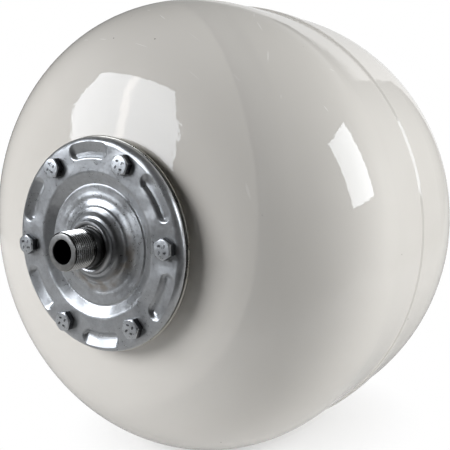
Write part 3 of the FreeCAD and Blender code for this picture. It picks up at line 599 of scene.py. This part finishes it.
def makeGalvanisedSteel(look):
    material, tree, shader, place = newMaterial("galvanisedSteel", Metallic=0.8)
    spangle = texture(tree, "Voronoi", place, look["spangleScale"])
    cloud = texture(tree, "Noise", place, look["cloudScale"], Detail=6.0, Roughness=0.65)
    grain = texture(tree, "Noise", place, look["grainScale"], Detail=4.0, Roughness=0.7)
    base = mottled(tree, cloud, look["cloudTones"])
    isSpangle = ramp(tree, spangle.outputs["Color"], *look["spangleSpan"], 0.0, look["spangleShare"])
    base = tint(tree, isSpangle, base, look["spangleTone"])
    isGrain = ramp(tree, grain.outputs["Fac"], *look["grainSpan"], look["grainShare"], 0.0)
    base = tint(tree, isGrain, base, look["grainTone"])
    away = fromAxis(tree, place)
    # painted shade darkens the groove round the mouth
    grooveShade = both(tree, ramp(tree, away, *look["grooveIn"]),
                  ramp(tree, away, *look["grooveOut"], 0.0, look["grooveShadeShare"]))
    base = tint(tree, grooveShade, base, look["grooveShadeTone"])
    up = axes(tree, place)["z"]
    near = both(tree, ramp(tree, away, *look["stainIn"]), ramp(tree, away, *look["stainOut"]))
    low = both(tree, near, ramp(tree, up, *look["stainBelow"]))
    patches = texture(tree, "Noise", place, look["stainScale"], Detail=5.0)
    stain = both(tree, low, ramp(tree, patches.outputs["Fac"], *look["stainSpan"], 0.0, look["stainShare"]))
    base = tint(tree, stain, base, look["stainTone"])
    nick = texture(tree, "Voronoi", place, look["nickScale"])
    ragged = both(tree, grain.outputs["Fac"], look["nickRagged"])
    nickAway = combine(tree, "ADD", nick.outputs["Distance"], ragged)
    isNick = both(tree, ramp(tree, nickAway, *look["nickEdge"], 0.0, look["nickShare"]),
                  ramp(tree, nick.outputs["Color"], *look["nickCells"]))
    base = tint(tree, isNick, base, look["nickTone"])
    tree.links.new(base, shader.inputs["Base Color"])
    rough = combine(tree, "ADD", ramp(tree, cloud.outputs["Fac"], *noiseSpan, *look["cloudRoughness"]),
                    ramp(tree, grain.outputs["Fac"], *noiseSpan, *look["grainRoughness"]))
    tree.links.new(rough, shader.inputs["Roughness"])
    wave = texture(tree, "Noise", place, look["waveScale"], Detail=1.0)
    waved = bump(tree, shader, wave.outputs["Fac"], 1.0, look["waveDepth"])
    rings = 0.0
    for ringRadius, half, height in look["rings"]:
        off = combine(tree, "ABSOLUTE", combine(tree, "SUBTRACT", away, ringRadius), 0.0)
        rings = combine(tree, "ADD", ramp(tree, off, half, 0.0, 0.0, height), rings)
    waved = bump(tree, shader, rings, 1.0, look["ringUnit"], waved)
    bump(tree, shader, grain.outputs["Fac"], *look["grain"], waved)
    return material


turnedLook = {
    "cloudScale": 90.0,
    "lineScale": (20, 2600, 20),    # finest along the axis, so the tool's marks run round it
    "lineDepth": 0.0003,
    "roughSpread": (-0.05, 0.08),
}


def makeTurnedSteel(name, dark, light, rough, lines):
    look = turnedLook
    material, tree, shader, place = newMaterial(name, Metallic=1.0)
    cloud = texture(tree, "Noise", place, look["cloudScale"], Detail=4.0)
    tree.links.new(mottled(tree, cloud, (dark, light)), shader.inputs["Base Color"])
    roughen(tree, shader, cloud, [rough + spread for spread in look["roughSpread"]])
    stretch = tree.nodes.new("ShaderNodeMapping")
    tree.links.new(place, stretch.inputs["Vector"])
    stretch.inputs["Scale"].default_value = look["lineScale"]
    turned = texture(tree, "Noise", stretch.outputs["Vector"], 1.0, Detail=2.0)
    bump(tree, shader, turned.outputs["Fac"], lines, look["lineDepth"])
    return material


nippleLook = {
    "cloudScale": 220.0,
    "tones": ((0.40, 0.395, 0.38), (0.54, 0.535, 0.52)),
    "grain": (0.08, 0.0002),            # strength and depth
    "polished": 0.20,
    "dull": 0.36,
    # painted highlights on the crests and painted shade in the roots along the thread: stations of its ends,
    # and radii
    "threadIn": (-0.0178, -0.0172),
    "threadOut": (-0.0006, -0.0012),
    "crest": (0.01285, 0.01318),
    "crestHighlightTone": (0.80, 0.79, 0.77),
    "root": (0.01285, 0.01235),
    "rootTone": (0.07, 0.07, 0.068),
    # a dark shank
    "shankIn": (-0.0010, 0.0),
    "shankRadius": (0.01440, 0.01415),
    "shankTone": (0.12, 0.118, 0.115),
    # the rolled collar has the plate's dull finish, and so has the thread's end face
    "collar": (0.01445, 0.0147),
    "collarTone": (0.56, 0.565, 0.57),
    "endFace": (-0.0178, -0.0182),
    # painted shade: the bore is dark
    "boreRadius": (0.00885, 0.0086),
    "boreMouth": (-0.0182, -0.0176),
    "boreShadeTone": (0.012, 0.012, 0.012),
    "boreRough": 0.7,
}


def makeNippleSteel(look):
    material, tree, shader, place = newMaterial("nippleSteel", Metallic=1.0)
    cloud = texture(tree, "Noise", place, look["cloudScale"], Detail=4.0)
    base = mottled(tree, cloud, look["tones"])
    away = fromAxis(tree, place)
    station = axes(tree, place)["y"]
    thread = both(tree, ramp(tree, station, *look["threadIn"]), ramp(tree, station, *look["threadOut"]))
    # painted shade in the thread's roots, then painted highlights on its crests
    root = both(tree, thread, ramp(tree, away, *look["root"]))
    base = tint(tree, root, base, look["rootTone"])
    crest = both(tree, thread, ramp(tree, away, *look["crest"]))
    base = tint(tree, crest, base, look["crestHighlightTone"])
    shank = both(tree, ramp(tree, station, *look["shankIn"]), ramp(tree, away, *look["shankRadius"]))
    base = tint(tree, shank, base, look["shankTone"])
    base = tint(tree, ramp(tree, away, *look["collar"]), base, look["collarTone"])
    # painted shade inside the bore
    bore = both(tree, ramp(tree, away, *look["boreRadius"]), ramp(tree, station, *look["boreMouth"]))
    base = tint(tree, bore, base, look["boreShadeTone"])
    tree.links.new(base, shader.inputs["Base Color"])
    rough = either(tree, ramp(tree, away, *look["collar"], look["polished"], look["dull"]),
                   ramp(tree, bore, 0.0, 1.0, 0.0, look["boreRough"]))
    rough = either(tree, rough, ramp(tree, station, *look["endFace"], 0.0, look["dull"]))
    tree.links.new(rough, shader.inputs["Roughness"])
    bump(tree, shader, cloud.outputs["Fac"], *look["grain"])
    return material


zincLook = {
    "cloudScale": 380.0,
    "tones": ((0.66, 0.68, 0.70), (0.78, 0.80, 0.82)),
    "toneSpan": (0.35, 0.7),
    "roughness": (0.26, 0.40),
    "grain": (0.08, 0.0003),            # strength and depth
    # painted shade makes the flats black, and the raised marks are dark: stations
    # measured from the head's face
    "flats": (0.0007, 0.0011),
    "flatsShadeTone": (0.085, 0.088, 0.092),
    "marks": (-0.00003, -0.00006),
    "marksTone": (0.10, 0.10, 0.105),
}


def makeZincSteel(look):
    material, tree, shader, place = newMaterial("zincPlating", Metallic=0.9)
    cloud = texture(tree, "Noise", place, look["cloudScale"], Detail=5.0, Roughness=0.65)
    base = mottled(tree, cloud, look["tones"], look["toneSpan"])
    station = axes(tree, place)["y"]
    face = boltSizes["plateFace"] - boltSizes["head"]
    # painted shade on the head's flats
    flats = ramp(tree, station, *[face + depth for depth in look["flats"]])
    base = tint(tree, flats, base, look["flatsShadeTone"])
    marks = ramp(tree, station, *[face + depth for depth in look["marks"]])
    base = tint(tree, marks, base, look["marksTone"])
    tree.links.new(base, shader.inputs["Base Color"])
    roughen(tree, shader, cloud, look["roughness"])
    bump(tree, shader, cloud.outputs["Fac"], *look["grain"])
    return material


brassLook = {
    "cloudScale": 300.0,
    "tones": ((0.68, 0.49, 0.21), (0.77, 0.57, 0.27)),
    "roughness": (0.22, 0.34),
    "grain": (0.1, 0.0003),             # strength and depth
}


def makeBrass(look):
    material, tree, shader, place = newMaterial("turnedBrass", Metallic=1.0)
    cloud = texture(tree, "Noise", place, look["cloudScale"], Detail=4.0)
    tree.links.new(mottled(tree, cloud, look["tones"]), shader.inputs["Base Color"])
    roughen(tree, shader, cloud, look["roughness"])
    bump(tree, shader, cloud.outputs["Fac"], *look["grain"])
    return material


blackLook = {
    "lighter": (1.7, 1.7, 1.65),        # the light patches' tone, as a share of the dark ones'
    "roughSpread": (-0.06, 0.08),
    "grain": (0.2, 0.0003),             # strength and depth
}


def makeBlack(name, tone, rough, grainScale):
    look = blackLook
    material, tree, shader, place = newMaterial(name)
    grain = texture(tree, "Noise", place, grainScale, Detail=4.0)
    light = tuple(tone * share for share in look["lighter"])
    tree.links.new(mottled(tree, grain, ((tone, tone, tone), light)), shader.inputs["Base Color"])
    roughen(tree, shader, grain, [rough + spread for spread in look["roughSpread"]])
    bump(tree, shader, grain.outputs["Fac"], *look["grain"])
    return material


ringSteel = makeTurnedSteel(
    "ringSteel", dark=(0.66, 0.64, 0.58), light=(0.80, 0.78, 0.72), rough=0.30, lines=0.03)
stainlessSteel = makeTurnedSteel(
    "stainlessSteel", dark=(0.50, 0.49, 0.46), light=(0.70, 0.68, 0.64), rough=0.24, lines=0.2)
springWire = makeTurnedSteel(
    "springWire", dark=(0.45, 0.45, 0.45), light=(0.60, 0.60, 0.60), rough=0.3, lines=0.05)
wear(makeTankPaint(paintLook), ["front_shell", "rear_shell", "seam_weld", "valve_boss", "boss_weld"])
wear(makeGalvanisedSteel(plateLook), ["flange_plate"])
wear(ringSteel, ["backing_ring"])
wear(makeNippleSteel(nippleLook), ["threadedNipple"])
wear(stainlessSteel, ["flange_liner", "nipple_weld"])
wear(makeZincSteel(zincLook), ["hexBolt%d" % (number + 1) for number in range(len(boltSizes["turns"]))])
wear(makeBrass(brassLook), ["valve_stem", "core_barrel", "core_pin"])
wear(makeBlack("bladderRubber", tone=0.035, rough=0.6, grainScale=500.0), ["bladder"])
wear(makeBlack("sealRubber", tone=0.03, rough=0.5, grainScale=900.0),
     ["valve_gasket", "core_seal", "pin_seal", "cap_seal"])
wear(springWire, ["coreSpring"])
wear(makeBlack("capPlastic", tone=0.025, rough=0.4, grainScale=700.0), ["valve_cap"])
print("stage 5: materials")

mirroredTone = 0.38     # how bright gloss and metal see the sheet behind the object and the floor

floorSizes = {
    "level": cadBox[0][2] - 0.0002,     # just under the object
    # laid square to the camera: left, right, far and near edges from the thread's end
    "edges": (-1.4, 0.609, -1.7, 0.19),
    "turn": 33.0,
    "tone": 0.93,
    "roughness": 0.7,
    # distances from this point over which the floor turns plain white
    "whiteRound": (0, 0.19, 0),
    "whiteFrom": (0.155, 0.24),
}


def makeFloor(sizes):
    deselectAll()
    left, right, far, near = sizes["edges"]
    bpy.ops.mesh.primitive_plane_add(size=1)
    floor = bpy.context.active_object
    bpy.ops.object.mode_set(mode="EDIT")
    bpy.ops.transform.resize(value=(right - left, near - far, 1))
    bpy.ops.transform.translate(value=((left + right) / 2, -(near + far) / 2, sizes["level"]))
    bpy.ops.object.mode_set(mode="OBJECT")
    floor.rotation_euler = (0, 0, math.radians(sizes["turn"]))
    bpy.ops.object.transform_apply(location=True, rotation=True, scale=True)
    floor.name = "floor"
    material, tree, shader, place = newMaterial("paleFloor", Roughness=sizes["roughness"])
    shader.inputs["Base Color"].default_value = (sizes["tone"], sizes["tone"], sizes["tone"], 1)
    away = tree.nodes.new("ShaderNodeVectorMath")
    away.operation = "DISTANCE"
    away.inputs[1].default_value = sizes["whiteRound"]
    tree.links.new(place, away.inputs[0])
    rays = tree.nodes.new("ShaderNodeLightPath")
    seen = either(tree, rays.outputs["Is Camera Ray"], rays.outputs["Is Glossy Ray"])
    seen = either(tree, seen, rays.outputs["Is Transmission Ray"])
    whiter = both(tree, seen, ramp(tree, away.outputs["Value"], *sizes["whiteFrom"]))
    glow = tree.nodes.new("ShaderNodeEmission")
    glowTone = ramp(tree, rays.outputs["Is Camera Ray"], 0.0, 1.0, mirroredTone, 1.0)
    tree.links.new(glowTone, glow.inputs["Strength"])
    mix = tree.nodes.new("ShaderNodeMixShader")
    tree.links.new(whiter, mix.inputs[0])
    tree.links.new(shader.outputs[0], mix.inputs[1])
    tree.links.new(glow.outputs[0], mix.inputs[2])
    tree.links.new(mix.outputs[0], tree.nodes["Material Output"].inputs["Surface"])
    floor.data.materials.append(material)


# edges are parts of a direction's X, Y or Z, first where a zone begins and then where it is full
roomLook = {
    "roomTone": 0.012,
    "backTone": 1.0,        # soft light from behind, which the photographed side hardly gets
    "backNarrow": 4.0,      # the higher, the narrower that light
    # the sheet behind the object: where it faces and where it ends
    "sheetFaces": (-0.5616, 0.8210, 0.0),
    "sheetSide": (0.28, 0.34),
    "sheetTop": (0.56, 0.50),
    # the lamp's light falls on the sheet inside two soft curves
    "litTone": 0.80,
    "archMiddle": -0.11,
    "arch": (0.436, 0.430),
    "flankSlope": 0.48,
    "flank": (-0.142, -0.148),
    "highSide": (-0.295, -0.301),
    "highTop": (0.58, 0.56),
    "litFrom": (0.70, 0.76),
    # the unlit sheet fades towards both sides: edges, and the share left at each
    "fadeLeft": (-0.4, -0.8, 1.0, 0.1),
    "fadeRight": (-0.05, 0.12, 1.0, 0.4),
}


def makeRoom(look):
    # the camera sees plain white, gloss a pale sheet behind the object, and the rest is a soft even room
    world = bpy.data.worlds.new("room")
    bpy.context.scene.world = world
    world.use_nodes = True
    tree = world.node_tree
    shell = tree.nodes["Background"]
    coords = tree.nodes.new("ShaderNodeTexCoord")
    direction = coords.outputs["Generated"]

    def lobe(towards):
        node = tree.nodes.new("ShaderNodeVectorMath")
        node.operation = "DOT_PRODUCT"
        node.inputs[1].default_value = towards
        tree.links.new(direction, node.inputs[0])
        return node.outputs["Value"]

    x, y, z = axes(tree, direction).values()
    sheet = both(tree, ramp(tree, lobe(look["sheetFaces"]), *look["sheetSide"]),
                 ramp(tree, z, *look["sheetTop"]))
    across = combine(tree, "SUBTRACT", x, look["archMiddle"])
    arch = combine(tree, "ADD", both(tree, across, across), z)
    flank = combine(tree, "SUBTRACT", x, both(tree, z, look["flankSlope"]))
    curved = both(tree, ramp(tree, arch, *look["arch"]), ramp(tree, flank, *look["flank"]))
    high = both(tree, ramp(tree, x, *look["highSide"]), ramp(tree, z, *look["highTop"]))
    lit = both(tree, either(tree, curved, high), ramp(tree, y, *look["litFrom"]))
    fade = both(tree, ramp(tree, x, *look["fadeLeft"]),
                ramp(tree, combine(tree, "ADD", x, z), *look["fadeRight"]))
    mirrored = either(tree, both(tree, fade, mirroredTone), both(tree, lit, look["litTone"]))
    rays = tree.nodes.new("ShaderNodeLightPath")
    gloss = either(tree, rays.outputs["Is Glossy Ray"], rays.outputs["Is Transmission Ray"])
    seen = either(tree, rays.outputs["Is Camera Ray"], both(tree, sheet, gloss))
    mirrored = either(tree, mirrored, rays.outputs["Is Camera Ray"])
    narrowed = combine(tree, "POWER", either(tree, lobe((0, 1, 0)), 0.0), look["backNarrow"])
    behind = both(tree, narrowed, look["backTone"])
    colour = tint(tree, seen, combine(tree, "ADD", behind, look["roomTone"]), mirrored)
    tree.links.new(colour, shell.inputs["Color"])


keyPlace = {"centre": (-0.739, -0.919, 0.535), "width": 0.72, "height": 0.745,
            "faces": (0.03, 0.03, 0.09), "roll": 0.0}
stripePlace = {"centre": (-0.735, -0.895, 0.53), "width": 0.05, "height": 0.74,
               "faces": (0.03, 0.03, 0.09), "roll": 0.0}
sidePlace = {"centre": (1.255, 0.45, 0.455), "width": 0.61, "height": 0.675,
             "faces": (0.08, 0.1, 0.0), "roll": 7.5}
# a fill shares a panel's place and adds to its light, but gloss doesn't mirror it
panels = [
    {"name": "keyPanel", **keyPlace, "watts": 9.8, "colour": (0.89, 0.935, 1.0), "mirrored": True},
    {"name": "keyStripe", **stripePlace, "watts": 0.34, "colour": (1.0, 0.90, 0.80), "mirrored": True},
    {"name": "sidePanel", **sidePlace, "watts": 9.4, "colour": (0.91, 0.95, 1.0), "mirrored": True},
    {"name": "keyFill", **keyPlace, "watts": 10.5, "colour": (1.0, 0.97, 0.93), "mirrored": False},
    {"name": "sideFill", **sidePlace, "watts": 10.0, "colour": (1.0, 0.975, 0.94), "mirrored": False},
]


def makePanel(name, centre, width, height, faces, roll, watts, colour, mirrored):
    light = bpy.data.lights.new(name, "AREA")
    light.shape = "RECTANGLE"
    light.size = width
    light.size_y = height
    light.energy = watts
    light.color = colour
    panel = bpy.data.objects.new(name, light)
    panel.location = centre
    aim = (Vector(faces) - Vector(centre)).to_track_quat("-Z", "Y")
    panel.rotation_euler = (aim @ Quaternion((0, 0, 1), math.radians(roll))).to_euler()
    panel.visible_glossy = mirrored
    bpy.context.scene.collection.objects.link(panel)


def makeCamera():
    camera = bpy.data.objects.new("camera", bpy.data.cameras.new("camera"))
    camera.location = photo["cameraPlace"]
    camera.rotation_euler = [math.radians(turn) for turn in photo["cameraTurn"]]
    camera.data.lens = photo["lens"]
    camera.data.sensor_width = photo["sensor"]
    camera.data.clip_start = 0.01
    bpy.context.scene.collection.objects.link(camera)
    bpy.context.scene.camera = camera


makeFloor(floorSizes)
makeRoom(roomLook)
for panel in panels:
    makePanel(**panel)
makeCamera()
bpy.context.scene.view_settings.view_transform = "Standard"
print("stage 6: studio")
